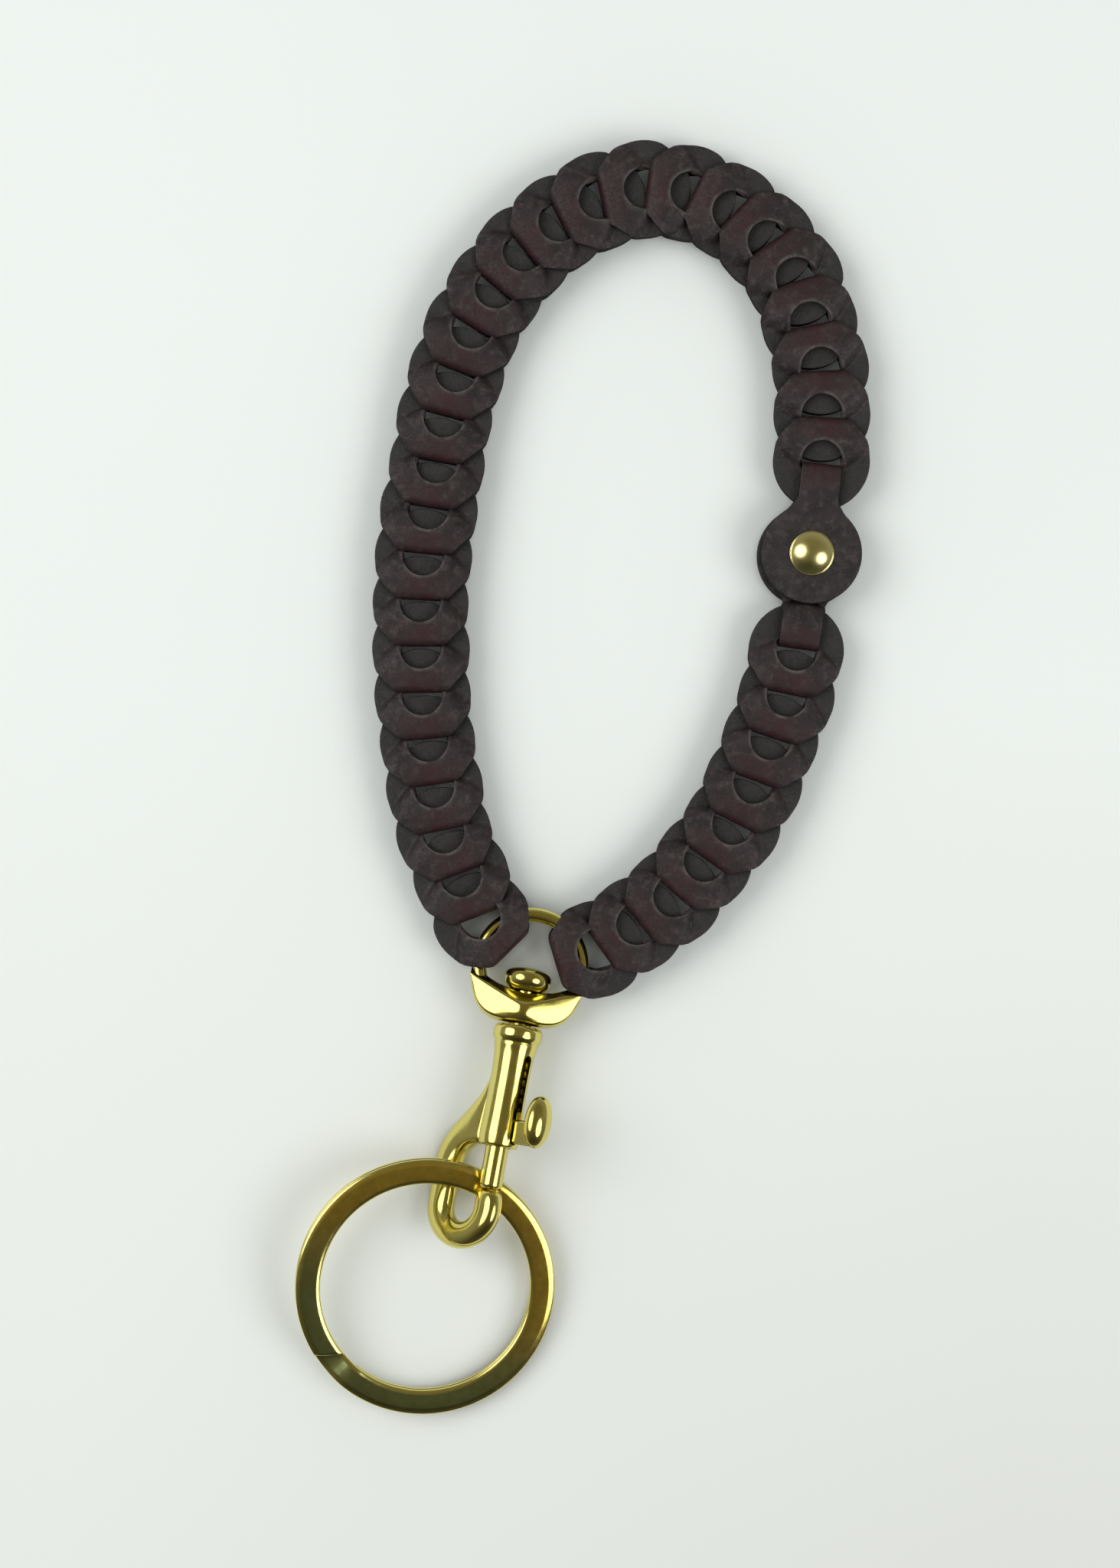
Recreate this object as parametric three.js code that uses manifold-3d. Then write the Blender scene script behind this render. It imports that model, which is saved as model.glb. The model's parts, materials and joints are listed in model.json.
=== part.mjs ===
// A wristlet keychain: a loop of interlinked leather rings, riveted shut, on a brass bolt snap that carries
// a split key ring. Millimetres, +Z up. The part lies on the plane Z = 0, on the back face of its closing
// rivet, and the centre of that face is the origin. The loop lies flat, its snap and key ring towards -Y.
import * as THREE from "three";
import { mergeVertices } from "three/addons/utils/BufferGeometryUtils.js";
import Module from "manifold-3d";

const wasm = await Module();
wasm.setup();

// ---------------------------------------------------------------- driving dimensions (mm and degrees)

const LEATHER = 1.2; // thickness of the hide
const PLY_GAP = 0.1; // air between two plies that slide on each other
const LINKS_LONG = 27; // links from the eye's left side to the rivet
const LINKS_SHORT = 9; // links from the eye's right side to the rivet

const LINK = {
  discRadius: 7.05,
  holeRadius: 3.05,
  holeAt: 5.9, // hole centre, from the neck
  neckWidth: 4.0,
  neckChamfer: 0.3,
  shoulderAt: 1.9, // where the disc starts, from the neck
  rimReach: 5.3, // how far the far rim reaches past the next neck
  rimHalfAngle: 42,
};
const NECK_FROM_EYE = 4.3; // from the eye's centre to the neck of each first link
const FIRST_LONG_AT = 139; // direction of the long strand's first link, seen from the eye
const FIRST_SHORT_AT = 10;
const FIRST_LINK_OPENING = 0.75; // the first links are bowed open this much more, round the eye's wire

const TAB = { neckWidth: 5.8, holeRadius: 1.5 };
const OUTER_TAB = { length: 12.7, discRadius: 7.35 };
const INNER_TAB = { length: 13.4, discRadius: 7.1, holeRadius: 2.1 };
const RIVET = { capRadius: 3.25, capHeight: 1.3, postRadius: 1.4, seat: 0.06, flange: 0.8 };

const EYE = { radius: 7.5, wire: 1.05, rise: 0.45, boreRadius: 1.75 };
const SADDLE = { halfWidth: 8.3, top: 4.0, bottom: 8.7, halfDepth: 3.3, hornDepth: 0.9, innerDepth: 1.3 };
const LEAN = -10.3; // the snap leans to the left of straight down
const PITCH = -8; // and rises towards its hook
const SWIVEL_AT_REST = -43; // its hook arm is turned down, its thumb knob up

const BARREL = { top: 9.0, bottom: 26.9, radius: 2.75, boreRadius: 2.0, boreTop: 11.2 };
const SLOT = { from: 13.2, to: 26.4, width: 1.6 };
const HOOK = {
  centreX: -4.4,
  centreA: 36.0,
  inner: 2.35,
  outer: 6.3,
  breadth: 1.073, // the bow is this much broader than a circle
  depth: 2.9,
  bevel: 0.8,
};
const BOLT = { radius: 1.7, from: 21.3, to: 33.1 };
const SPRING = { radius: 1.35, wire: 0.22, from: 11.4, to: 21.1, turns: 8 };
const KNOB = { at: 22.6, reach: 7.06, length: 7.6, depth: 3.3, width: 4.4 };
const STEM = { at: 24.4, from: 2.05, length: 3.6, pinRadius: 0.5, pinHoleRadius: 0.8 };

const RING = { outerRadius: 19, width: 3.6, coil: 1.05, gap: 0.1, tilt: 4, roll: 8.5 };
const RING_CROSSING = new THREE.Vector3(-8.8, -31.0, 2.1); // where the ring passes through the hook
const RING_TURN = -22.7;
const RING_STEP_AT = 238; // direction of the upper coil's end in the ring's own frame
const RING_STEP = 0.045; // share of a turn over which the wire drops from the upper coil to the lower

const BRASS = new THREE.MeshStandardMaterial({ color: "#c9a83c", roughness: 0.2, metalness: 1 });
const HIDE = new THREE.MeshStandardMaterial({ color: "#3b2a2b", roughness: 0.75, metalness: 0 });

// ---------------------------------------------------------------- helpers

const radians = THREE.MathUtils.degToRad;
const degrees = THREE.MathUtils.radToDeg;
const point = (x, y) => new THREE.Vector2(x, y);

function solid(geometry) {
  const bare = geometry.clone();
  bare.deleteAttribute("normal");
  bare.deleteAttribute("uv");
  const merged = mergeVertices(bare, 1e-4);
  const mesh = new wasm.Mesh({
    numProp: 3,
    vertProperties: merged.attributes.position.array,
    triVerts: new Uint32Array(merged.index.array),
  });
  return new wasm.Manifold(mesh);
}

function geometryOf(manifold) {
  const { vertProperties, triVerts } = manifold.getMesh();
  const geometry = new THREE.BufferGeometry();
  geometry.setAttribute("position", new THREE.BufferAttribute(vertProperties, 3));
  geometry.setIndex(new THREE.BufferAttribute(triVerts, 1));
  const flat = geometry.toNonIndexed();
  flat.computeVertexNormals();
  return flat;
}

function mesh(name, manifold, material) {
  const made = new THREE.Mesh(geometryOf(manifold), material);
  made.name = name;
  return made;
}

function arc(centreX, centreY, radius, fromDegrees, toDegrees, segments) {
  return Array.from({ length: segments + 1 }, (_, i) => {
    const angle = radians(fromDegrees + ((toDegrees - fromDegrees) * i) / segments);
    return point(centreX + radius * Math.cos(angle), centreY + radius * Math.sin(angle));
  });
}

const mirrored = (points) => points.map((p) => point(p.x, -p.y)).reverse();

// A plan shape, with round holes in it, extruded from one height to another.
function plate(points, from, to, holes = []) {
  const shape = new THREE.Shape(points);
  for (const { x, radius, segments } of holes) {
    const round = radius / Math.cos(Math.PI / segments); // flats stand clear of the true circle
    shape.holes.push(new THREE.Path(arc(x, 0, round, 0, 360, segments).slice(0, -1)));
  }
  const geometry = new THREE.ExtrudeGeometry(shape, { depth: to - from, bevelEnabled: false });
  return solid(geometry.translate(0, 0, from));
}

// A closed profile of [radius, height] points, turned about the Z axis.
function turned(profile, segments) {
  const geometry = new THREE.LatheGeometry(profile.map(([r, z]) => point(r, z)), segments);
  return solid(geometry.rotateX(Math.PI / 2));
}

// The same about the snap's own axis, with heights measured from the eye towards the hook (down -Y).
function turnedAlongSnap(profile, segments) {
  const geometry = new THREE.LatheGeometry(profile.map(([r, a]) => point(r, a)), segments);
  return solid(geometry.rotateX(Math.PI));
}

const flipped = (manifold) => manifold.rotate([180, 0, 0]);

// ---------------------------------------------------------------- leather: levels

// Each link is folded in two, so it has an upper and a lower ply. Over the previous link's rim a ply rides
// high; past it the ply drops to the middle, to be that rim for the next link.
const low = { bottom: PLY_GAP / 2, top: PLY_GAP / 2 + LEATHER };
const high = { bottom: low.top + PLY_GAP, top: low.top + PLY_GAP + LEATHER };

// The height profile of a ply, as a function of the distance from its own neck: links turn on each other
// about the neck, so a height that depends only on that distance never lets two plies meet.
function plyProfile(dropFrom, dropTo, opening) {
  const farAway = 25;
  const topLag = 0.3; // the top face drops this much further out than the bottom face
  return [
    [0, high.bottom + opening],
    [dropFrom, high.bottom + opening],
    [dropTo, low.bottom],
    [farAway, low.bottom],
    [farAway, low.top],
    [dropTo + topLag, low.top],
    [dropFrom + topLag, high.top + opening],
    [0, high.top + opening],
  ];
}

function neckOutline() {
  const half = LINK.neckWidth / 2;
  const cut = LINK.neckChamfer;
  const side = [
    point(-LEATHER / 2, -half + cut),
    point(-LEATHER / 2 + cut, -half),
    point(LEATHER / 2 - cut, -half),
    point(LEATHER / 2, -half + cut),
  ];
  return [...side, ...mirrored(side)];
}

// The strip that leads from the neck to the broad part of a ply, one side of it.
function neckSide() {
  const half = LINK.neckWidth / 2;
  return [
    point(-LEATHER / 2, -half + LINK.neckChamfer),
    point(-LEATHER / 2 + LINK.neckChamfer, -half),
    point(LINK.shoulderAt, -half),
  ];
}

// Both plies and the neck that joins them.
function folded(upperPly, opening) {
  const top = high.top + opening;
  return upperPly.add(flipped(upperPly)).add(plate(neckOutline(), -top, top));
}

// ---------------------------------------------------------------- leather: links

// One ring of a link, in plan: a disc with a hole. Its far rim is trimmed round the next neck, where the
// neck after that swings.
function linkOutline(pitch) {
  const { discRadius, holeAt, shoulderAt, rimReach, rimHalfAngle } = LINK;
  const from = degrees(Math.acos((shoulderAt - holeAt) / discRadius));
  const offset = pitch - holeAt;
  const rim = radians(rimHalfAngle);
  const along = -offset * Math.cos(rim) + Math.sqrt(discRadius ** 2 - (offset * Math.sin(rim)) ** 2);
  const end = degrees(Math.atan2(along * Math.sin(rim), offset + along * Math.cos(rim)));
  const discSide = arc(holeAt, 0, discRadius, -from, -end, 4);
  const side = [...neckSide(), ...discSide];
  const notch = arc(pitch, 0, rimReach, -rimHalfAngle, rimHalfAngle, 3);
  return [...side, ...notch, ...mirrored(side)];
}

function linkSolid(pitch, opening = 0) {
  const top = high.top + opening;
  const hole = { x: LINK.holeAt, radius: LINK.holeRadius, segments: 8 };
  const blank = plate(linkOutline(pitch), 0, top, [hole]);
  const dropFrom = 7.1;
  const dropTo = 7.8;
  return folded(blank.intersect(turned(plyProfile(dropFrom, dropTo, opening), 12)), opening);
}

// ---------------------------------------------------------------- leather: end tabs and rivet

// A solid disc on a waisted neck, with the rivet's hole.
function tabOutline(length, discRadius) {
  const half = TAB.neckWidth / 2;
  const flareEnd = 40; // the flare meets the disc this far round from the neck
  const meet = arc(length, 0, discRadius, 180 + flareEnd, 180 + flareEnd, 1)[0];
  const flare = new THREE.QuadraticBezierCurve(
    point(meet.x - 2.6, -half),
    point(meet.x - 1.0, -half - 0.4),
    meet,
  );
  const side = [...neckSide(), point(LINK.shoulderAt, -half), ...flare.getPoints(3).slice(0, -1)];
  return [...side, ...arc(length, 0, discRadius, 180 + flareEnd, 540 - flareEnd, 20), ...mirrored(side)];
}

// The outer tab's plies stay high all the way, to lie outside the inner tab's.
function outerTabSolid() {
  const hole = { x: OUTER_TAB.length, radius: TAB.holeRadius, segments: 12 };
  const outline = tabOutline(OUTER_TAB.length, OUTER_TAB.discRadius);
  return folded(plate(outline, high.bottom, high.top, [hole]), 0);
}

// The inner tab's plies drop to the middle just past the last link's rim.
function innerTabSolid() {
  const hole = { x: INNER_TAB.length, radius: INNER_TAB.holeRadius, segments: 12 };
  const blank = plate(tabOutline(INNER_TAB.length, INNER_TAB.discRadius), 0, high.top, [hole]);
  const dropFrom = LINK.rimReach + 0.1;
  const dropTo = LINK.rimReach + 0.35;
  return folded(blank.intersect(turned(plyProfile(dropFrom, dropTo, 0), 24)), 0);
}

// A domed cap with a straight edge and a blind socket for the post.
function rivetCapSolid() {
  const { capRadius, capHeight, postRadius, seat } = RIVET;
  const base = high.top + seat;
  const edgeHeight = 0.35;
  const socketRadius = postRadius + 0.15;
  const socketTop = base + 0.8;
  const dome = arc(0, 0, 1, 0, 90, 4).map((p) => [
    p.x * capRadius,
    base + edgeHeight + p.y * (capHeight - edgeHeight),
  ]);
  const socket = [[0, socketTop], [socketRadius, socketTop], [socketRadius, base]];
  return turned([...socket, [capRadius - 0.2, base], ...dome], 20);
}

// The lowest point of the part is the flat back of this flange.
const rivetBack = -(high.top + RIVET.seat + RIVET.flange);

function rivetPostSolid() {
  const { capRadius, postRadius, seat } = RIVET;
  const flangeTop = -high.top - seat;
  const postTop = high.top + seat + 0.6;
  const profile = [
    [0, rivetBack],
    [capRadius - 0.9, rivetBack],
    [capRadius, flangeTop - 0.25],
    [capRadius - 0.1, flangeTop],
    [postRadius, flangeTop],
    [postRadius, postTop],
    [0, postTop],
  ];
  return turned(profile, 20);
}

// ---------------------------------------------------------------- leather: the loop's path

const fromEye = (direction) => {
  const angle = radians(direction);
  return new THREE.Vector3(NECK_FROM_EYE * Math.cos(angle), NECK_FROM_EYE * Math.sin(angle), 0);
};

// The loop's centreline: a slack egg, highest to the right of the middle, from the eye's left round to its
// right. The ends are the necks of the two first links.
const loopPath = new THREE.CatmullRomCurve3([
  fromEye(FIRST_LONG_AT),
  ...[
    [-8.1, 7.8], [-10.7, 14.2], [-12.9, 20.6], [-15.9, 41.0], [-15.1, 64.0], [-9.7, 90.7], [-3.0, 102.2],
    [5.0, 109.4], [14.2, 113.4], [23.9, 113.0], [32.6, 108.2], [39.2, 99.4], [42.8, 83.0], [41.1, 60.5],
    [37.6, 40.0], [29.6, 20.8], [20.7, 10.0], [15.9, 6.1], [10.9, 2.7],
  ].map(([x, y]) => new THREE.Vector3(x, y, 0)),
  fromEye(FIRST_SHORT_AT),
]);

// Steps along the path with a straight stride, and gives the points stepped on.
function stride(path, strides) {
  const places = [path[0].clone()];
  let i = 0;
  for (const step of strides) {
    const here = places[places.length - 1];
    while (i < path.length - 2 && path[i + 1].distanceTo(here) < step) i += 1;
    const [near, far] = [path[i], path[i + 1]];
    const share = (step - near.distanceTo(here)) / (far.distanceTo(here) - near.distanceTo(here));
    places.push(near.clone().lerp(far, share));
  }
  return places;
}

const pathSamples = loopPath.getSpacedPoints(4000);
const strand = (samples, pitch, count, tabLength) =>
  stride(samples, [...Array(count).fill(pitch), tabLength]);

// The pitch at which both strands end on the same rivet.
function closingPitch() {
  const reversed = [...pathSamples].reverse();
  let [short, long] = [6.3, 7.3];
  const indexOf = (place) => {
    const distances = pathSamples.map((p) => p.distanceTo(place));
    return distances.indexOf(Math.min(...distances));
  };
  for (let i = 0; i < 24; i += 1) {
    const middle = (short + long) / 2;
    const endLong = strand(pathSamples, middle, LINKS_LONG, OUTER_TAB.length).at(-1);
    const endShort = strand(reversed, middle, LINKS_SHORT, INNER_TAB.length).at(-1);
    if (indexOf(endLong) < indexOf(endShort)) short = middle;
    else long = middle;
  }
  return (short + long) / 2;
}

const pitch = closingPitch();
const longStrand = strand(pathSamples, pitch, LINKS_LONG, OUTER_TAB.length);
const shortStrand = strand([...pathSamples].reverse(), pitch, LINKS_SHORT, INNER_TAB.length);

// Places a piece with its neck at the first point, pointing at the second.
function laid(piece, from, to) {
  piece.position.copy(from);
  piece.rotation.z = Math.atan2(to.y - from.y, to.x - from.x);
  return piece;
}

function strandGroup(strandName, places, tab) {
  const group = new THREE.Group();
  const plain = linkSolid(pitch);
  const first = linkSolid(pitch, FIRST_LINK_OPENING);
  const count = places.length - 2;
  for (let i = 0; i < count; i += 1) {
    const name = `${strandName}_link_${String(i + 1).padStart(2, "0")}`;
    group.add(laid(mesh(name, i === 0 ? first : plain, HIDE), places[i], places[i + 1]));
  }
  group.add(laid(tab, places[count], places[count + 1]));
  return group;
}

// ---------------------------------------------------------------- brass: swivel eye

// The eye's broad base, where the swivel neck passes through: a crescent in plan, whose two broad facets
// meet in a ridge over the neck and slope down to the eye's opening.
function saddleSolid() {
  const { halfWidth, top, bottom, halfDepth, hornDepth, innerDepth } = SADDLE;
  const inner = [point(-6.3, -2.9), point(-3.4, -top), point(3.4, -top), point(6.3, -2.9)];
  const outer = [
    point(halfWidth - 0.9, -1.4),
    point(halfWidth, -1.8),
    point(halfWidth - 0.4, -4.0),
    point(halfWidth - 1.8, -7.2),
    point(halfWidth - 3.3, -8.5),
    point(halfWidth - 6, -bottom),
  ];
  const left = outer.map((p) => point(-p.x, p.y)).reverse();
  const crescent = plate([...inner, ...outer, ...left], -halfDepth, halfDepth);
  const lens = [
    point(halfWidth + 0.2, -hornDepth),
    point(halfWidth + 0.2, hornDepth),
    point(0.8, halfDepth),
    point(-0.8, halfDepth),
    point(-halfWidth - 0.2, hornDepth),
    point(-halfWidth - 0.2, -hornDepth),
    point(-0.8, -halfDepth),
    point(0.8, -halfDepth),
  ];
  const across = plate(lens, 0, bottom + 1).rotate([90, 0, 0]);
  const slopeEnd = -top - (halfDepth - innerDepth);
  const side = [
    point(innerDepth, 0),
    point(innerDepth, -top),
    point(halfDepth, slopeEnd),
    point(halfDepth, -bottom - 1),
  ];
  const otherSide = side.map((p) => point(-p.x, p.y)).reverse();
  const along = plate([...side, ...otherSide], -halfWidth, halfWidth).rotate([0, 90, 0]);
  return crescent.intersect(across).intersect(along);
}

function eyeSolid() {
  const wire = arc(EYE.radius, 0, EYE.wire, 0, 360, 8).map((p) => [p.x, p.y]);
  const bore = turnedAlongSnap([[0, 2], [EYE.boreRadius, 2], [EYE.boreRadius, 12], [0, 12]], 16);
  return turned(wire, 32).add(saddleSolid()).subtract(bore);
}

// ---------------------------------------------------------------- brass: bolt snap

// The hook in plan: x across the snap, y down its length; a web flares from the barrel into the arm,
// which turns round the bottom to a blunt tip under the bolt.
function hookOutline() {
  const { centreX, centreA, inner, outer, breadth } = HOOK;
  const { bottom, radius } = BARREL;
  const webTop = 15.5;
  const armTop = 31;
  const tipTop = 33.4;
  const outerLeft = centreX - outer * breadth;
  const innerLeft = centreX - inner * breadth;
  const bow = (arcRadius, from, to, segments) =>
    arc(0, -centreA, arcRadius, from, to, segments).map((p) => point(centreX + p.x * breadth, p.y));
  const flare = new THREE.CubicBezierCurve(
    point(-radius + 0.15, -webTop),
    point(-radius, -21.5),
    point(outerLeft, -23.5),
    point(outerLeft, -armTop),
  );
  const crook = new THREE.CubicBezierCurve(
    point(innerLeft, -armTop),
    point(innerLeft, -28.4),
    point(-5.4, -bottom - 0.1),
    point(-2.2, -bottom + 0.1),
  );
  return [
    point(0, -webTop),
    ...flare.getPoints(7),
    ...bow(outer, 180, 360, 12),
    point(centreX + outer * breadth - 0.1, -tipTop - 1.1),
    point(1.3, -tipTop),
    point(-1.2, -tipTop),
    ...bow(inner, 360, 180, 8),
    ...crook.getPoints(5),
    point(0, -bottom + 0.1),
  ].reverse();
}

function hookSolid() {
  const { depth, bevel } = HOOK;
  const geometry = new THREE.ExtrudeGeometry(new THREE.Shape(hookOutline()), {
    depth: depth - 2 * bevel,
    bevelThickness: bevel,
    bevelSize: bevel,
    bevelOffset: -bevel,
    bevelSegments: 1,
  });
  return solid(geometry.translate(0, 0, bevel - depth / 2));
}

// The barrel with its collar, and the button that turns in the eye's base.
function barrelSolid() {
  const { top, bottom, radius } = BARREL;
  const button = [
    [0, 0.4], [1.7, 0.5], [2.9, 1.0], [3.3, 1.9], [2.9, 2.9], [1.5, 3.6],
  ];
  const collar = [
    [1.5, top], [3.2, top], [3.55, top + 0.4], [3.5, top + 1.3], [3.0, top + 3.0],
  ];
  const tube = [
    [radius, 16], [radius, 21], [radius + 0.2, bottom - 1], [radius - 0.1, bottom], [0, bottom],
  ];
  return turnedAlongSnap([...button, ...collar, ...tube], 20);
}

function snapSolid() {
  const { bottom, boreRadius, boreTop } = BARREL;
  const bore = turnedAlongSnap(
    [[0, boreTop], [boreRadius, boreTop], [boreRadius, bottom + 1], [0, bottom + 1]], 16);
  const tipRelief = BOLT.to + 0.2;
  const path = turnedAlongSnap(
    [[0, bottom], [boreRadius, bottom], [boreRadius, tipRelief], [0, tipRelief]], 16);
  const slotBox = new THREE.BoxGeometry(4, SLOT.to - SLOT.from, SLOT.width);
  const slot = solid(slotBox.translate(2, -(SLOT.from + SLOT.to) / 2, 0));
  return barrelSolid().add(hookSolid()).subtract(bore).subtract(path).subtract(slot);
}

function boltRodSolid() {
  const { radius, from, to } = BOLT;
  const rod = turnedAlongSnap(
    [[0, from], [radius, from], [radius, to - 0.5], [radius - 0.5, to], [0, to]], 16);
  const pinHole = new THREE.CylinderGeometry(STEM.pinHoleRadius, STEM.pinHoleRadius, radius * 2, 10);
  return rod.subtract(solid(pinHole.rotateZ(Math.PI / 2).translate(radius + 0.3, -STEM.at, 0)));
}

// A bean-shaped pad on a flat stem that runs in the slot, with a pin into the bolt.
function thumbKnobSolid() {
  const { at, reach, length, depth, width } = KNOB;
  const pad = new THREE.SphereGeometry(1, 12, 8).scale(depth / 2, length / 2, width / 2);
  const stem = new THREE.BoxGeometry(reach - STEM.from, STEM.length, SLOT.width - 0.5);
  const pinLength = 2.4;
  const pin = new THREE.CylinderGeometry(STEM.pinRadius, STEM.pinRadius, pinLength, 10);
  return solid(pad.translate(reach, -at, 0))
    .add(solid(stem.translate((reach + STEM.from) / 2, -STEM.at, 0)))
    .add(solid(pin.rotateZ(Math.PI / 2).translate(0.7 + pinLength / 2, -STEM.at, 0)));
}

class Helix extends THREE.Curve {
  getPoint(t, target = new THREE.Vector3()) {
    const angle = t * SPRING.turns * 2 * Math.PI;
    const along = SPRING.from + (SPRING.to - SPRING.from) * t;
    return target.set(SPRING.radius * Math.cos(angle), -along, SPRING.radius * Math.sin(angle));
  }
}

function boltSpringSolid() {
  const section = new THREE.Shape(arc(0, 0, SPRING.wire, 0, 360, 4).slice(0, -1));
  return solid(new THREE.ExtrudeGeometry(section, { steps: SPRING.turns * 7, extrudePath: new Helix() }));
}

// ---------------------------------------------------------------- brass: key ring

// Flat wire, one turn on top of the other. The wire drops from the upper turn to the lower one at the step,
// where the upper turn starts, and the lower turn ends just short of the step.
class SplitRingPath extends THREE.Curve {
  getPoint(t, target = new THREE.Vector3()) {
    const clearance = 0.002;
    const turns = clearance + (2 - RING_STEP - 3 * clearance) * t;
    const rise = RING.coil + RING.gap;
    const drop = THREE.MathUtils.smoothstep(turns, 1 - RING_STEP, 1) * rise;
    const angle = radians(RING_STEP_AT) - turns * 2 * Math.PI;
    const radius = RING.outerRadius - RING.width / 2;
    return target.set(radius * Math.cos(angle), radius * Math.sin(angle), rise / 2 - drop);
  }
}

function keyRingSolid() {
  const half = RING.width / 2;
  const thick = RING.coil / 2;
  const section = new THREE.Shape([
    point(-thick, -half), point(thick, -half), point(thick, half), point(-thick, half),
  ]);
  return solid(new THREE.ExtrudeGeometry(section, { steps: 76, extrudePath: new SplitRingPath() }));
}

// ---------------------------------------------------------------- assembly

const outerTab = new THREE.Group();
outerTab.add(mesh("end_tab_outer", outerTabSolid(), HIDE));
for (const [name, made] of [["rivet_cap", rivetCapSolid()], ["rivet_post", rivetPostSolid()]]) {
  const piece = mesh(name, made, BRASS);
  piece.position.x = OUTER_TAB.length;
  outerTab.add(piece);
}
const innerTab = mesh("end_tab_inner", innerTabSolid(), HIDE);

const boltSnap = new THREE.Group();
boltSnap.rotation.y = radians(SWIVEL_AT_REST);
boltSnap.add(mesh("snap_body", snapSolid(), BRASS));
boltSnap.add(mesh("bolt_rod", boltRodSolid(), BRASS));
boltSnap.add(mesh("thumb_knob", thumbKnobSolid(), BRASS));
boltSnap.add(mesh("bolt_spring", boltSpringSolid(), BRASS));

const hardware = new THREE.Group();
hardware.position.z = EYE.rise;
hardware.rotation.order = "ZXY";
hardware.rotation.set(radians(PITCH), 0, radians(LEAN));
hardware.add(mesh("swivel_eye", eyeSolid(), BRASS), boltSnap);

const ringHang = new THREE.Group();
ringHang.position.copy(RING_CROSSING);
ringHang.rotation.order = "ZXY";
ringHang.rotation.set(radians(RING.tilt), radians(RING.roll), radians(RING_TURN));
const keyRing = mesh("key_ring", keyRingSolid(), BRASS);
keyRing.position.y = -(RING.outerRadius - RING.width / 2);
ringHang.add(keyRing);

// The pieces are placed about the eye, then the whole is moved so that the rivet's back is at the origin.
const aboutEye = new THREE.Group();
aboutEye.add(strandGroup("long", longStrand, outerTab), strandGroup("short", shortStrand, innerTab));
aboutEye.add(hardware, ringHang);
const rivetAt = longStrand.at(-1);
aboutEye.position.set(-rivetAt.x, -rivetAt.y, -rivetBack);

const wristlet = new THREE.Group();
wristlet.add(aboutEye);

export default wristlet;
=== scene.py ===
"""The looks of a wristlet keychain: a loop of folded leather links, riveted shut, on a brass bolt snap with
a split key ring. Lengths are in millimetres, and each finished mesh is in metres."""

import json
import math
import random

import bmesh
import bpy
import numpy as np
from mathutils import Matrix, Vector


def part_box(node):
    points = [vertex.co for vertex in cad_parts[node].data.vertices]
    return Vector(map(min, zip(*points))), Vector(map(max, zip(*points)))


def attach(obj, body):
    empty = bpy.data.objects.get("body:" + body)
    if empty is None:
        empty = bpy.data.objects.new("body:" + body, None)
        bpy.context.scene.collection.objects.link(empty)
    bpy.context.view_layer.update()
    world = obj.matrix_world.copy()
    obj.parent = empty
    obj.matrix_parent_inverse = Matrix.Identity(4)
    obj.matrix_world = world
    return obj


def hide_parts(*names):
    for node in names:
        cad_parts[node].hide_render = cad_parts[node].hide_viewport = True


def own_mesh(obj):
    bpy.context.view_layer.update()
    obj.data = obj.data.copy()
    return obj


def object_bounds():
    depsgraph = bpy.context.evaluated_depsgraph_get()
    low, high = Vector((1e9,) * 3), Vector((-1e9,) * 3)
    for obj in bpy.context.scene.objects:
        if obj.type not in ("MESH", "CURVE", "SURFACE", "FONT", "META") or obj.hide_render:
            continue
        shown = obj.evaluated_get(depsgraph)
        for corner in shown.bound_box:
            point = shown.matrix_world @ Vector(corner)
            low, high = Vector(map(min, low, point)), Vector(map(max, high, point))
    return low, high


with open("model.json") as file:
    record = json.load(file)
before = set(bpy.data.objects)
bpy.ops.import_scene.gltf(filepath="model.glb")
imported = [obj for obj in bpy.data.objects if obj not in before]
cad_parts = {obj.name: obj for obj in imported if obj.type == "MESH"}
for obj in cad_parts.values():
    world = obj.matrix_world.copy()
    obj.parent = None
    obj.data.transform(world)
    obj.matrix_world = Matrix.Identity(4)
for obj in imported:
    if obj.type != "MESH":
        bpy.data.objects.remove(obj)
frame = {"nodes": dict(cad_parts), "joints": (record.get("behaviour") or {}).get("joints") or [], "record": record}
cad_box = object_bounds()
record = frame["record"]
joints = {joint["name"]: joint for joint in frame["joints"]}
body_of = {node: body for body, nodes in record["behaviour"]["bodies"].items() for node in nodes}

# ---------------------------------------------------------------- driving dimensions (mm)

MM = 0.001
UP = np.array([0.0, 0.0, 1.0])

PITCH = 6.7988  # from the neck of one link to the neck of the next
THICK = 1.12  # one ply of leather
HIGH = 1.95  # middle of a ply where it rides over the previous link's rim
LOW = 0.65  # and where it is that rim for the next link
SWELL = 0.16  # how far a ply swells between its fold and the middle of its hole
SWELL_CREST = 0.24  # and how much more it does along its middle
SWELL_LENGTH = 5.5
EDGE_ROUND = 0.26
FAR_TRIM = 0.3  # how short a link's far rim is, and the angles between which that fades to nothing
FAR_ARC = (math.radians(42), math.radians(60))
FOLD_RADIUS = 0.65
LINK = {"radius": 7.05, "hole": 3.0, "centre": 5.9, "waist": 2.3, "drop": (6.1, 7.6), "rings": 9}
CLOSED = (0.0, 1, 7)  # how much higher a fold stands open, and the distances over which that fades
LONG_OPENING = (0.75, 3, 9)
SHORT_OPENING = (0.75, 1, 7)
FIRST_SLACK = 0.1  # between the eye's wire and the folds round it
OUTER_TAB = {"radius": 7.35, "hole": 1.5, "waist": 2.5, "drop": (90, 91), "neck": 2.9, "rings": 9,
             "shift": (0.35, -0.45)}
INNER_TAB = {"radius": 7.1, "hole": 2.1, "waist": 2.5, "drop": (5.2, 6.4), "neck": 2.9, "rings": 18}

RIVET_SEAT = 2.61
DOME_RADIUS = 4.6
DOME_TOP = 3.9

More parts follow.
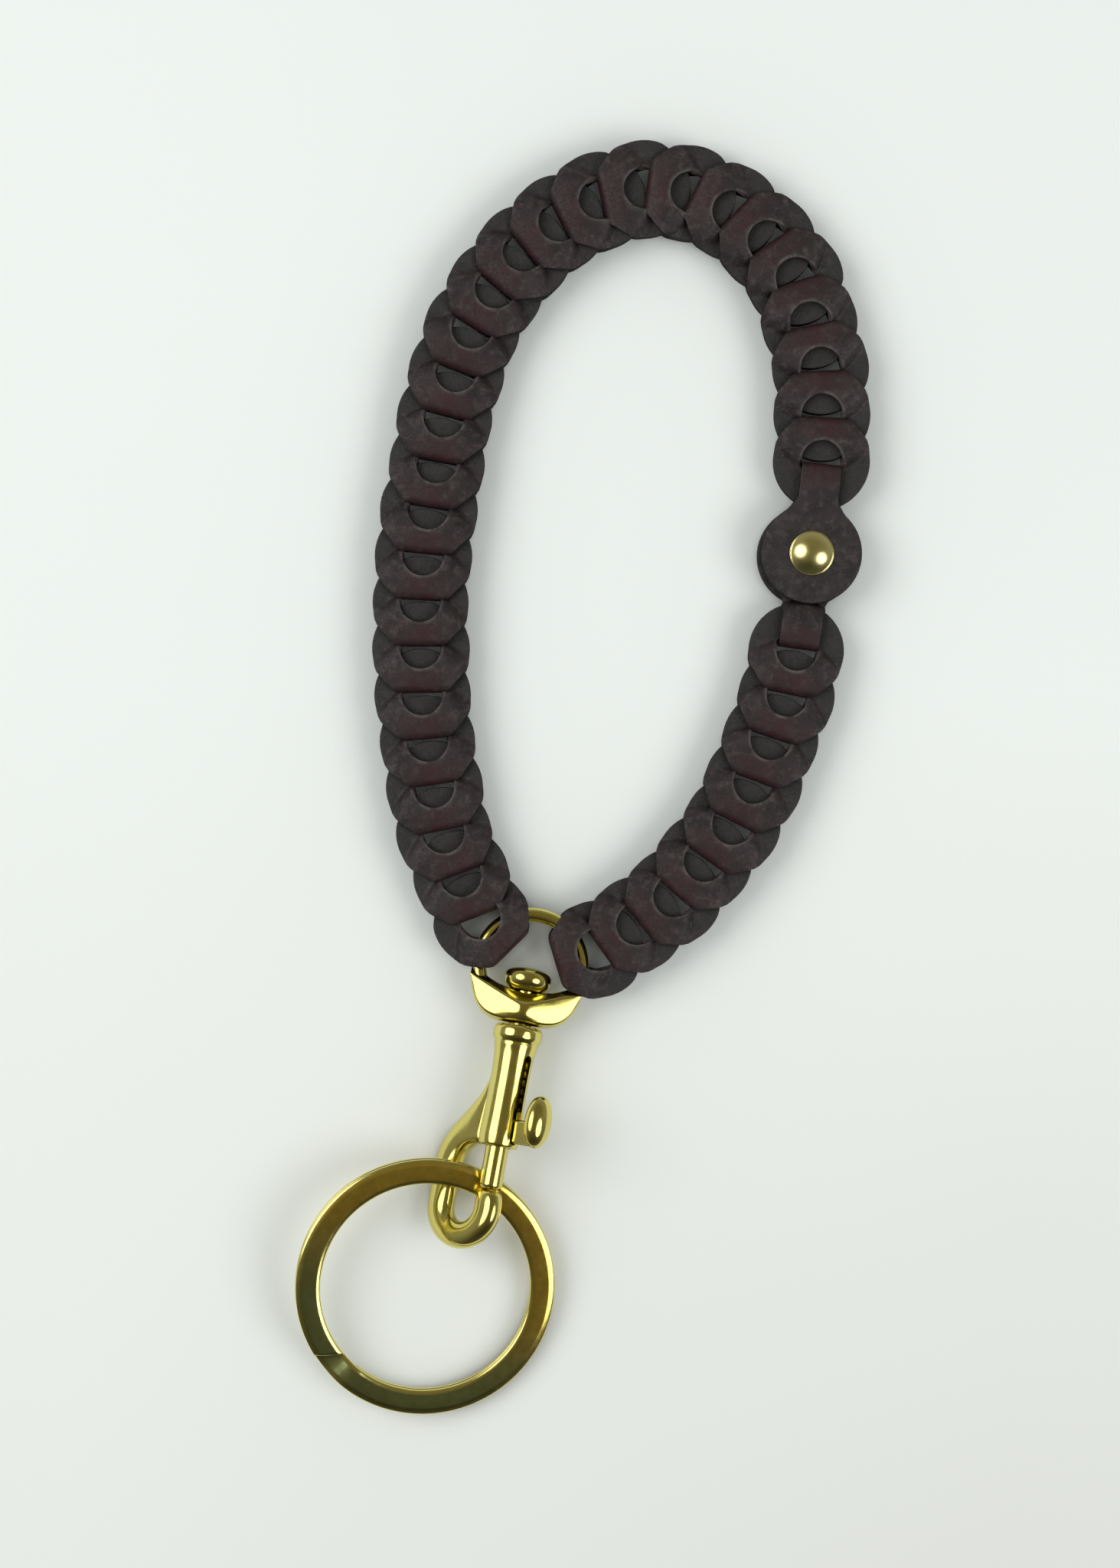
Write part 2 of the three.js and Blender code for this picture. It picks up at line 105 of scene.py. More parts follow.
EYE_RADIUS = 7.5
EYE_WIRE = 1.08
BORE = 1.75
HOOK_A = 36.0  # how far below the eye's centre the hook's bow is centred
HOOK_LEFT = 10.4  # how far its bow stands out on the left, for which the next two are given
HOOK_X = -4.1
HOOK_HOLE = 2.35
STEM_AT = 24.4
SLOT_HALF = 0.8
SLOT_FROM = 13.2
SLOT_TO = 26.4

RING_RADIUS = 17.2
RING_WIDTH = 3.6
RING_COIL = 1.05
RING_RISE = 1.15
RING_STEP_AT = 238
RING_RAMP = 0.045  # share of a turn in which the wire goes from the upper level to the lower

FLOOR_GAP = 0.3
FLOOR_HALF = 3000
LAMP_DISTANCE = 0.9  # metres, as are the camera's height and the length of floor that it sees
CAMERA_HEIGHT = 0.62
FLOOR_SEEN = 0.2309
VIEW_SHIFT = (-3.4, -0.8)  # of the picture's middle from the middle of the object's box


# ---------------------------------------------------------------- mesh helpers


def unit(v):
    v = np.asarray(v, float)
    return v / np.linalg.norm(v)


class Place:
    """A local frame, in millimetres: origin and three axes."""

    def __init__(self, origin, x, y, z):
        self.origin = np.asarray(origin, float)
        self.axes = np.array([x, y, z], float)

    def world(self, points):
        return np.asarray(points, float) @ self.axes + self.origin

    def local(self, points):
        return (np.asarray(points, float) - self.origin) @ self.axes.T


def node_points(name):
    """A CAD node's vertices, in millimetres."""
    return np.array([v.co for v in frame["nodes"][name].data.vertices], float) / MM


def centroid(name):
    """A CAD node's centre of volume, in millimetres."""
    mesh = frame["nodes"][name].data
    mesh.calc_loop_triangles()
    corners = node_points(name)[[tuple(t.vertices) for t in mesh.loop_triangles]]
    volumes = np.einsum("ij,ij->i", corners[:, 0], np.cross(corners[:, 1], corners[:, 2]))
    return (corners.sum(1) * volumes[:, None]).sum(0) / (4 * volumes.sum())


def smoothstep(x, low, high):
    t = np.clip((np.asarray(x, float) - low) / (high - low), 0, 1)
    return t * t * (3 - 2 * t)


def rounded(points, radius, steps=4, closed=False):
    """A polyline with its corners turned into short curves. Radius is one number, or one per point."""
    points = [np.asarray(p, float) for p in points]
    count = len(points)
    radii = np.broadcast_to(radius, count)
    out = []
    for i, corner in enumerate(points):
        if not closed and i in (0, count - 1):
            out.append(corner)
            continue
        before, after = points[i - 1], points[(i + 1) % count]
        reach = min(radii[i], 0.48 * np.linalg.norm(before - corner), 0.48 * np.linalg.norm(after - corner))
        start = corner + unit(before - corner) * reach
        end = corner + unit(after - corner) * reach
        for t in np.linspace(0, 1, steps + 1):
            out.append((1 - t) ** 2 * start + 2 * t * (1 - t) * corner + t * t * end)
    return np.array(out)


def bezier(a, b, c, d, count):
    t = np.linspace(0, 1, count)[:, None]
    a, b, c, d = (np.asarray(p, float) for p in (a, b, c, d))
    return (1 - t) ** 3 * a + 3 * t * (1 - t) ** 2 * b + 3 * t * t * (1 - t) * c + t**3 * d


def grid_faces(rows, columns, wrap_rows=False):
    """Faces of a grid of points, each row of which closes on itself."""
    faces = []
    for i in range(rows if wrap_rows else rows - 1):
        for j in range(columns):
            k, m = (i + 1) % rows, (j + 1) % columns
            faces.append((i * columns + j, k * columns + j, k * columns + m, i * columns + m))
    return faces


def lathe(profile, segments):
    """A profile of (radius, distance) turned about the snap's axis, which runs down -Y."""
    profile = np.asarray(profile, float)
    turn = np.linspace(0, 2 * math.pi, segments, endpoint=False)
    rows = [np.c_[r * np.cos(turn), np.full(segments, -a), r * np.sin(turn)] for r, a in profile]
    return np.vstack(rows), grid_faces(len(profile), segments)


def loft(sections):
    """Closed sections, all with the same number of points, skinned in order and capped."""
    sections = np.asarray(sections, float)
    count, size = sections.shape[:2]
    faces = grid_faces(count, size)
    faces.append(tuple(range(size)))
    faces.append(tuple((count - 1) * size + i for i in range(size)))
    return sections.reshape(-1, 3), faces


def build(name, shells, place):
    """One object from (points, faces) shells given in a local frame."""
    points, faces = [], []
    for shell_points, shell_faces in shells:
        start = len(points)
        points.extend(place.world(shell_points) * MM)
        faces.extend(tuple(start + i for i in face) for face in shell_faces)
    mesh = bpy.data.meshes.new(name)
    mesh.from_pydata([tuple(p) for p in points], [], faces)
    work = bmesh.new()
    work.from_mesh(mesh)
    bmesh.ops.remove_doubles(work, verts=work.verts, dist=1e-7)
    bmesh.ops.recalc_face_normals(work, faces=work.faces)
    work.to_mesh(mesh)
    work.free()
    made = bpy.data.objects.new(name, mesh)
    bpy.context.scene.collection.objects.link(made)
    return made


def paint(mesh, layers):
    """Stores one number per vertex under each name, for the materials to read."""
    for key, values in layers.items():
        mesh.attributes.new(key, "FLOAT", "POINT").data.foreach_set("value", values.astype(np.float32))


def baked(made, sharp=35):
    """Applies the modifiers and shades smoothly, but for edges sharper than this."""
    graph = bpy.context.evaluated_depsgraph_get()
    mesh = bpy.data.meshes.new_from_object(made.evaluated_get(graph))
    made.modifiers.clear()
    made.data = mesh
    mesh.shade_smooth()
    mesh.set_sharp_from_angle(angle=math.radians(sharp))
    return made


def bevel(made, width, segments, angle):
    modifier = made.modifiers.new("round", "BEVEL")
    modifier.width = width * MM
    modifier.segments = segments
    modifier.limit_method = "ANGLE"
    modifier.angle_limit = math.radians(angle)


def cut(made, tool):
    modifier = made.modifiers.new("cut", "BOOLEAN")
    modifier.object = tool
    modifier.operation = "DIFFERENCE"
    modifier.solver = "EXACT"
    baked(made)
    bpy.data.objects.remove(tool)


# ---------------------------------------------------------------- materials


class Graph:
    """A short way to write a material's nodes."""

    def __init__(self, name):
        self.material = bpy.data.materials.new(name)
        self.material.use_nodes = True
        self.tree = self.material.node_tree
        self.shader = self.tree.nodes["Principled BSDF"]

    def add(self, kind, settings=None, **inputs):
        node = self.tree.nodes.new(kind)
        for key, value in (settings or {}).items():
            setattr(node, key, value)
        for key, value in inputs.items():
            self.join(value, node.inputs[key.replace("_", " ")])
        return node

    def join(self, value, socket):
        if isinstance(value, bpy.types.NodeSocket):
            self.tree.links.new(value, socket)
        else:
            socket.default_value = value

    def position(self):
        return self.add("ShaderNodeTexCoord").outputs["Object"]

    def noise(self, scale, detail):
        vector = self.position()
        node = self.add("ShaderNodeTexNoise", Vector=vector, Scale=scale, Detail=detail, Roughness=0.55)
        return node.outputs["Fac"]

    def ramp(self, value, low, high, start=0.0, end=1.0):
        node = self.add("ShaderNodeMapRange", Value=value)
        for key, number in (("From Min", low), ("From Max", high), ("To Min", start), ("To Max", end)):
            node.inputs[key].default_value = number
        node.clamp = True
        return node.outputs["Result"]

    def mix(self, factor, a, b):
        node = self.add("ShaderNodeMix", {"data_type": "RGBA"})
        self.join(factor, node.inputs["Factor"])
        self.join(a, node.inputs[6])
        self.join(b, node.inputs[7])
        return node.outputs[2]

    def times(self, a, b):
        node = self.add("ShaderNodeMath", {"operation": "MULTIPLY"})
        self.join(a, node.inputs[0])
        self.join(b, node.inputs[1])
        return node.outputs[0]

    def attribute(self, name):
        return self.add("ShaderNodeAttribute", {"attribute_name": name}).outputs["Fac"]

    def crevice_shade(self, distance):
        """How open a point is, for painting shade into a colour: 1 in the open, down to 0 where another surface is
        this close (mm).
        """
        node = self.add("ShaderNodeAmbientOcclusion", {"samples": 8}, Distance=distance * MM)
        return node.outputs["AO"]

    def bump(self, height, distance, strength=1.0):
        node = self.add("ShaderNodeBump", Height=height, Distance=distance * MM, Strength=strength)
        self.join(node.outputs["Normal"], self.shader.inputs["Normal"])

    def set(self, **inputs):
        for key, value in inputs.items():
            self.join(value, self.shader.inputs[key.replace("_", " ")])
        return self.material


def leather_material():
    g = Graph("waxed_leather")
    patches = g.noise(420, 5)
    # Lighter grey-tan patches at random: partly the pull-up wax's own lighter tone, partly painted sheen.
    wax_and_sheen = g.ramp(g.noise(900, 6), 0.50, 0.74)
    grain = g.noise(3000, 6)
    base = g.mix(g.ramp(patches, 0.35, 0.65), (0.012, 0.009, 0.009, 1), (0.030, 0.020, 0.021, 1))
    base = g.mix(g.times(wax_and_sheen, 0.55), base, (0.090, 0.072, 0.068, 1))
    crease = g.times(g.attribute("fold"), g.ramp(g.noise(700, 4), 0.30, 0.60, 0.40, 1.0))
    base = g.mix(g.times(crease, 0.85), base, (0.038, 0.006, 0.010, 1))
    base = g.mix(g.times(g.attribute("under"), 0.7), base, (0.022, 0.023, 0.021, 1))
    lip = g.times(g.attribute("bore"), g.ramp(g.noise(500, 3), 0.38, 0.58, 0.1, 0.9))
    base = g.mix(lip, base, (0.105, 0.090, 0.084, 1))
    base = g.mix(g.ramp(grain, 0.50, 0.68, 0.0, 0.5), base, (0.007, 0.005, 0.005, 1))
    # Painted shade: near-black where the links press close, in creases and at contacts.
    base = g.mix(g.ramp(g.crevice_shade(1.2), 0.25, 0.80), (0.002, 0.0015, 0.0015, 1), base)
    g.bump(grain, 0.10, 0.8)
    return g.set(Base_Color=base, Roughness=g.ramp(grain, 0.3, 0.7, 0.42, 0.66), Specular_IOR_Level=0.45)


def cut_edge_material():
    g = Graph("leather_cut_edge")
    fibre = g.noise(3500, 4)
    outer = (0.016, 0.011, 0.011, 1)
    inner = g.mix(g.ramp(g.noise(500, 2), 0.36, 0.56), (0.030, 0.022, 0.021, 1), (0.095, 0.078, 0.070, 1))
    colour = g.mix(g.attribute("bore"), outer, inner)
    g.bump(fibre, 0.08, 0.8)
    return g.set(Base_Color=colour, Roughness=0.85, Specular_IOR_Level=0.2)


def brass_material(name, colour, rough, smudge):
    g = Graph(name)
    tone = g.mix(g.ramp(g.noise(90, 2), 0.30, 0.75), colour, tuple(0.90 * c for c in colour[:3]) + (1,))
    roughness = g.ramp(g.noise(700, 4), 0.35, 0.75, rough, rough + smudge)
    g.bump(g.noise(2200, 3), 0.003, 0.4)
    return g.set(Base_Color=tone, Metallic=1.0, Roughness=roughness)


def ring_material():
    """Brass wire whose flat faces carry a painted reflection: coppery on one side of the ring, dull olive on the
    other, with random darker streaks; and painted shade where the coils come close.
    """
    g = Graph("flat_wire_brass")
    streaks = g.ramp(g.noise(500, 4), 0.35, 0.65, 0.82, 1.0)
    # Painted reflection on the flat faces: coppery on the warm side of the ring, dull olive on the other; random
    # darker streaks on top.
    painted_reflection_and_streaks = g.mix(g.attribute("painted_warm_side"), (0.46, 0.52, 0.24, 1), (1.0, 0.72, 0.13, 1))
    painted_reflection_and_streaks = g.mix(streaks, (0.30, 0.28, 0.10, 1), painted_reflection_and_streaks)
    g.bump(g.noise(2200, 3), 0.003, 0.4)
    colour = g.mix(g.attribute("face"), (0.80, 0.70, 0.22, 1), painted_reflection_and_streaks)
    # Painted shade: dark where the coils and the step come close.
    colour = g.mix(g.ramp(g.crevice_shade(1.5), 0.30, 0.85), (0.10, 0.08, 0.02, 1), colour)
    return g.set(Base_Color=colour, Metallic=1.0, Roughness=g.ramp(g.noise(700, 4), 0.35, 0.75, 0.14, 0.20))


def steel_material():
    g = Graph("spring_steel")
    tone = g.mix(g.noise(900, 2), (0.10, 0.10, 0.11, 1), (0.18, 0.18, 0.18, 1))
    return g.set(Base_Color=tone, Metallic=1.0, Roughness=0.35)


def paper_material():
    """Pale paper, with painted shade: darker towards the near right corner, where the light falls off, and painted
    contact shadows where the object comes close.
    """
    g = Graph("pale_paper")
    tone = g.mix(g.noise(9, 3), (0.84, 0.87, 0.84, 1), (0.87, 0.90, 0.87, 1))
    place = g.add("ShaderNodeSeparateXYZ", Vector=g.position()).outputs
    # Painted shade: the light falling off towards the near right corner.
    painted_light_falloff = g.times(g.ramp(place["Y"], -0.02, -0.15), g.ramp(place["X"], -0.11, 0.03, 0.4, 1.0))
    tone = g.mix(painted_light_falloff, tone, (0.74, 0.75, 0.72, 1))
    # Painted contact shadow: dark where the object comes close to the paper.
    tone = g.mix(g.ramp(g.crevice_shade(2.5), 0.10, 0.75), (0.06, 0.06, 0.058, 1), tone)
    g.bump(g.noise(900, 3), 0.05, 0.3)
    return g.set(Base_Color=tone, Roughness=0.7, Specular_IOR_Level=0.25)


LEATHER = leather_material()
CUT_EDGE = cut_edge_material()
BRASS = brass_material("polished_brass", (0.74, 0.65, 0.19, 1), 0.10, 0.08)
RING_BRASS = ring_material()
CAP_BRASS = brass_material("satin_brass", (0.84, 0.76, 0.34, 1), 0.19, 0.08)
STEEL = steel_material()


def stand_for(made, node):
    """Puts a piece in a CAD node's place, on the node's body."""
    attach(made, body_of[node])
    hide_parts(node)


def finish_metal(made, material, node):
    made.data.materials.clear()
    made.data.materials.append(material)
    stand_for(made, node)


# ---------------------------------------------------------------- leather

ARC_STEPS = 44
CHORD_STEPS = 12


def disc_outline(spec):
    """A link's ply in plan: a disc, cut straight where the fold begins. It starts at the chord's -v end. The
    far rim may be a little short, so that it clears the fold of the link after the next."""
    meet = math.acos((spec["centre"] - FOLD_RADIUS) / spec["radius"])
    turn = np.linspace(meet - math.pi, math.pi - meet, ARC_STEPS + 1)
    radius = spec["radius"] - spec["far_trim"] * (1 - smoothstep(np.abs(turn), *FAR_ARC))
    arc = np.c_[spec["centre"] + radius * np.cos(turn), radius * np.sin(turn)]
    return with_chord(arc, spec["radius"] * math.sin(meet))


def with_chord(side, half):
    across = np.linspace(half, -half, CHORD_STEPS + 1)[1:-1]
    return np.vstack([side, np.c_[np.full(len(across), FOLD_RADIUS), across]])


def tab_outline(spec):
    """A tab's ply in plan: a disc on a waisted neck."""
    flare = math.radians(40)
    centre, radius, half = spec["centre"], spec["radius"], spec["neck"]
    meet = np.array([centre - radius * math.cos(flare), -radius * math.sin(flare)])
    neck_end = np.array([meet[0] - 2.6, -half])
    straight = np.linspace([FOLD_RADIUS, -half], neck_end, 9)[:-1]
    curve = bezier(neck_end, meet + [-1.6, 1.5], meet + [-0.5, 0.7], meet, 8)[:-1]
    turn = np.linspace(flare - math.pi, math.pi - flare, ARC_STEPS + 1)
    arc = np.c_[centre + radius * np.cos(turn), radius * np.sin(turn)]
    side = np.vstack([straight, curve])
    return with_chord(np.vstack([side, arc, side[::-1] * [1, -1]]), half)


def fold_profile(height):
    """The fold's middle line, from the upper ply round to the lower: (u, w) and distance along it."""
    quarter = np.linspace(math.pi / 2, math.pi, 6)
    turn_height = height - FOLD_RADIUS
    top = np.c_[FOLD_RADIUS + FOLD_RADIUS * np.cos(quarter), turn_height + FOLD_RADIUS * np.sin(quarter)]
    wall = np.c_[np.zeros(5), np.linspace(turn_height, -turn_height, 7)[1:-1]]
    line = np.vstack([top, wall, top[::-1] * [1, -1]])
    steps = np.linalg.norm(np.diff(line, axis=0), axis=1)
    return line, np.r_[0, np.cumsum(steps)]


def upper_ply(spec, outline, opening, wobble):
    """The upper ply's points, in rings from the hole's rim out to the outline."""
    centre = spec["centre"]
    open_by, fade_from, fade_to = opening
    angles = np.arctan2(outline[:, 1], outline[:, 0] - centre)
    rim = np.c_[centre + spec["hole"] * np.cos(angles), spec["hole"] * np.sin(angles)]
    share = np.linspace(0, 1, spec["rings"] + 1)[:, None, None]
    plan = (rim + (outline - rim) * share).reshape(-1, 2)
    distance = np.hypot(plan[:, 0], plan[:, 1])
    height = HIGH + open_by * (1 - smoothstep(distance, fade_from, fade_to))
    height = height + (LOW - HIGH) * smoothstep(distance, *spec["drop"])
    crown = SWELL + SWELL_CREST * np.exp(-((plan[:, 1] / 3) ** 2))
    swell = crown * np.sin(np.clip(plan[:, 0] / SWELL_LENGTH, 0, 1) * math.pi)
    return np.c_[plan, height + swell + wobble(plan[:, 0], plan[:, 1])]


def fold_rows(spec, height, chord):
    """Rows of points round the fold, from the upper ply's chord to the lower one's."""
    line, along = fold_profile(height)
    middle = along[-1] / 2
    reach = np.minimum(along, along[-1] - along)
    if "neck" in spec:
        half = spec["neck"] + (spec["waist"] - spec["neck"]) * smoothstep(reach, 0.4, middle)
    else:
        out = spec["centre"] - FOLD_RADIUS + reach
        half = np.sqrt(np.maximum(spec["radius"] ** 2 - out**2, spec["waist"] ** 2))
    across = np.linspace(1, -1, CHORD_STEPS + 1)
    rows = np.array([np.c_[np.full(len(across), u), across * h, np.full(len(across), z)]
                     for (u, z), h in zip(line[1:-1], half[1:-1])])
    fade = np.cos(np.linspace(0, math.pi, len(rows) + 2))[1:-1]
    lift = chord[:, 2] - height
    rows[:, :, 2] += fade[:, None] * lift[None, :]
    return rows


def leather_faces(rings, count, chord, fold_count):
    """Faces of the upper ply, of the lower ply and of the fold between their chords."""
    ply = (rings + 1) * count
    faces = grid_faces(rings + 1, count)
    faces += [tuple(ply + i for i in face[::-1]) for face in faces]
    columns = len(chord)
    rows = [chord]
    rows += [[2 * ply + r * columns + c for c in range(columns)] for r in range(fold_count)]
    rows += [[ply + i for i in chord]]
    for a, b in zip(rows, rows[1:]):
        faces += [(a[c], b[c], b[c + 1], a[c + 1]) for c in range(columns - 1)]
    return faces


def leather_layers(spec, points):
    """How much each point is on the fold's crease, under the next link, and on the lip of the hole."""
    u, v = points[:, 0], points[:, 1]
    fold = np.exp(-((v / 3.9) ** 2)) * (1 - smoothstep(u, 1.9, 3.7))
    under = smoothstep(np.hypot(u, v), 7.2, 9.0) * (0.25 if "neck" in spec else 1.0)
    bore = 1 - smoothstep(np.hypot(u - spec["centre"], v), spec["hole"] + 0.1, spec["hole"] + 0.5)
    return {"fold": fold, "under": under, "bore": bore}


def folded_leather(name, spec, outline, place, opening, wobble):
    """A piece folded in two: an upper ply, the fold, and a lower ply like the upper."""
    rings, count = spec["rings"], len(outline)
    upper = upper_ply(spec, outline, opening, wobble)
    lower = upper * [1, 1, -1]
    lower[:, :2] += smoothstep(upper[:, :1], 4, 8) * spec.get("shift", (0, 0))
    last_ring = rings * count
    chord = [*range(last_ring + count - CHORD_STEPS, last_ring + count), last_ring]
    fold = fold_rows(spec, HIGH + opening[0], upper[chord])
    points = np.vstack([upper, lower, fold.reshape(-1, 3)])

    mesh = bpy.data.meshes.new(name)
    mesh.from_pydata([tuple(p) for p in place.world(points) * MM], [],
                     leather_faces(rings, count, chord, len(fold)))
    paint(mesh, leather_layers(spec, points))
    mesh.materials.append(LEATHER)
    mesh.materials.append(CUT_EDGE)
    made = bpy.data.objects.new(name, mesh)
    bpy.context.scene.collection.objects.link(made)
    solid = made.modifiers.new("thickness", "SOLIDIFY")
    solid.thickness = THICK * MM
    solid.offset = 0
    solid.material_offset_rim = 1
    bevel(made, EDGE_ROUND, 4, 50)
    return baked(made, 60)


def joint_place(name):
    return np.array(joints[name]["pos_m"]) / MM


def leather_frame(start, end, yaw=0.0, roll=0.0):
    along = unit(np.array([end[0] - start[0], end[1] - start[1], 0.0]))
    side = np.cross(UP, along)
    along, side = along * math.cos(yaw) + side * math.sin(yaw), side * math.cos(yaw) - along * math.sin(yaw)
    lifted = side * math.cos(roll) + UP * math.sin(roll)
    return Place(start, along, lifted, np.cross(along, lifted))


def neck_places(strand_name, first_neck, count):
    """Where each link folds: every link points from its neck through its centre at the next one's."""
    necks = [first_neck]
    for i in range(count):
        along = unit((centroid(f"{strand_name}_link_{i + 1:02d}") - necks[-1]) * [1, 1, 0])
        necks.append(necks[-1] + PITCH * along)
    return necks


def strand(strand_name, first_hinge, first_opening, count, tab_name, tab_spec, seed):
    """All links of one strand, and the tab that ends it."""
    random.seed(seed)
    necks = neck_places(strand_name, joint_place(first_hinge), count)
    for i, (start, after) in enumerate(zip(necks, necks[1:])):
        node = f"{strand_name}_link_{i + 1:02d}"
        spec = dict(LINK, radius=LINK["radius"] * random.uniform(0.985, 1.01),
                    far_trim=FAR_TRIM if i < count - 1 else 0.0)
        twist = random.uniform(-0.012, 0.012)
        bow = random.uniform(0, 0.12)
        phase = random.uniform(0, 6.28)

        def wobble(u, v, twist=twist, bow=bow, phase=phase):
            wave = np.sin(0.42 * v + 0.3 * u + phase)
            return twist * v * smoothstep(u, 0, 6) + bow * wave * smoothstep(u, 1, 4)

        place = leather_frame(start, after, random.uniform(-0.03, 0.03), random.uniform(-0.03, 0.03))
        opening = first_opening if i == 0 else CLOSED
        place.origin = place.origin - place.axes[0] * (FIRST_SLACK if i == 0 else 0.0)
        made = folded_leather(f"leather_{node}", spec, disc_outline(spec), place, opening, wobble)
        stand_for(made, node)
    spec = dict(tab_spec, centre=float(np.linalg.norm((rivet - necks[-1])[:2])))
    place = leather_frame(necks[-1], rivet)
    made = folded_leather(f"leather_{tab_name}", spec, tab_outline(spec), place, CLOSED, lambda u, v: 0 * u)
    stand_for(made, tab_name)


rivet_low, rivet_high = (np.array(corner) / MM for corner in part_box("rivet_cap"))
rivet = (rivet_low + rivet_high) / 2
middle_height = joint_place("loop_squeeze")[2]
strand("long", "loop_squeeze", LONG_OPENING, 27, "end_tab_outer", OUTER_TAB, 11)
strand("short", "short_hinge_01", SHORT_OPENING, 9, "end_tab_inner", INNER_TAB, 5)

# ---------------------------------------------------------------- rivet

rivet_place = Place([rivet[0], rivet[1], middle_height], [1, 0, 0], [0, 0, -1], [0, 1, 0])
dome = [(r, DOME_TOP - DOME_RADIUS + math.sqrt(DOME_RADIUS**2 - r * r)) for r in np.linspace(3.05, 0, 14)]
cap_profile = rounded([(0, RIVET_SEAT + 0.02), (3.1, RIVET_SEAT + 0.02), (3.27, RIVET_SEAT + 0.12), *dome],
                      0.12, 4)
cap = build("rivet_cap_dome", [lathe(cap_profile, 72)], rivet_place)
finish_metal(baked(cap), CAP_BRASS, "rivet_cap")
post_profile = rounded(
    [(0, -3.4), (2.5, -3.4), (3.2, -2.9), (3.1, -2.62), (1.35, -2.62), (1.35, 2.7), (0, 2.7)],
    [0, 0.5, 0.2, 0.1, 0.1, 0.1, 0], 5)
post = build("rivet_post_and_base", [lathe(post_profile, 64)], rivet_place)
finish_metal(baked(post), BRASS, "rivet_post")

# ---------------------------------------------------------------- eye and snap frames

swivel = joints["snap_swivel"]
axis = unit(swivel["axis"])
hardware_origin = np.array(swivel["pos_m"]) / MM
eye_x = unit(np.cross(-axis, UP))
eye_place = Place(hardware_origin, eye_x, -axis, np.cross(eye_x, -axis))
knob_middle = node_points("thumb_knob").mean(0) - hardware_origin
snap_x = unit(knob_middle - axis * (knob_middle @ axis))
snap_place = Place(hardware_origin, snap_x, -axis, np.cross(snap_x, -axis))
snap_points = snap_place.local(node_points("snap_body"))
knob_points = snap_place.local(node_points("thumb_knob"))
rod_points = snap_place.local(node_points("bolt_rod"))
spring_points = snap_place.local(node_points("bolt_spring"))

# ---------------------------------------------------------------- swivel eye


def saddle_sections():
    """The eye's base: two broad facets that meet in a ridge over the swivel, with a slope down to the eye's
    opening. It is deepest in the middle and thins out to the eye's wire at its horns."""
    half_width = 8.4
    sections = []
    for t in np.linspace(-1, 1, 61):
        b = half_width * math.sin(t * math.pi / 2)
        depth = 3.4 - 2.5 * math.sqrt((b / half_width) ** 2 + 0.005)
        crest = 6.25 - 0.42 * math.sqrt(b * b + 0.3)
        low = 1.6 + 7.2 * max(0.0, 1 - (abs(b) / (half_width + 0.01)) ** 4.2) ** 0.62
        low = max(low, crest + 0.4)
        inner = min(4.0 - 0.04 * b * b, crest - 0.4)
        outline = [
            (inner, 0.48 * depth),
            (crest, depth),
            ((crest + low) / 2, 0.98 * depth),
            (low - 0.35, 0.84 * depth),
            (low, 0.5 * depth),
            (low, -0.5 * depth),
            (low - 0.35, -0.84 * depth),
            ((crest + low) / 2, -0.98 * depth),
            (crest, -depth),
            (inner, -0.48 * depth),
        ]
        ring = rounded(outline, [0.5, 0.3, 0.6, 0.3, 0.4, 0.4, 0.3, 0.6, 0.3, 0.5], 4, closed=True)
        sections.append(np.c_[np.full(len(ring), b), -ring[:, 0], ring[:, 1]])
    return sections


def torus(radius, wire, around=96, across=24):
    turn = np.linspace(0, 2 * math.pi, around, endpoint=False)
    section = np.linspace(0, 2 * math.pi, across, endpoint=False)
    rows = []
    for t in turn:
        r = radius + wire * np.cos(section)
        rows.append(np.c_[r * math.cos(t), r * math.sin(t), wire * np.sin(section)])
    return np.vstack(rows), grid_faces(around, across, wrap_rows=True)


saddle = build("eye_saddle_cut", [loft(saddle_sections())], eye_place)
bore_tool = build("bore_tool", [lathe([(0, 2), (BORE, 2), (BORE, 12), (0, 12)], 48)], eye_place)
cut(saddle, bore_tool)
eye = build("swivel_eye_ring", [torus(EYE_RADIUS, EYE_WIRE)], eye_place)
finish_metal(baked(eye), BRASS, "swivel_eye")
saddle.name = "swivel_eye_saddle"
finish_metal(baked(saddle, 50), BRASS, "swivel_eye")

# ---------------------------------------------------------------- bolt snap

hook_left = -snap_points[:, 0].min()
hook_bottom = -snap_points[:, 1].min()
stretch = hook_left / HOOK_LEFT
hook_x = HOOK_X * stretch
hook_outer = (hook_left + hook_x, hook_bottom - HOOK_A)
hook_inner = (HOOK_HOLE * stretch, HOOK_HOLE)


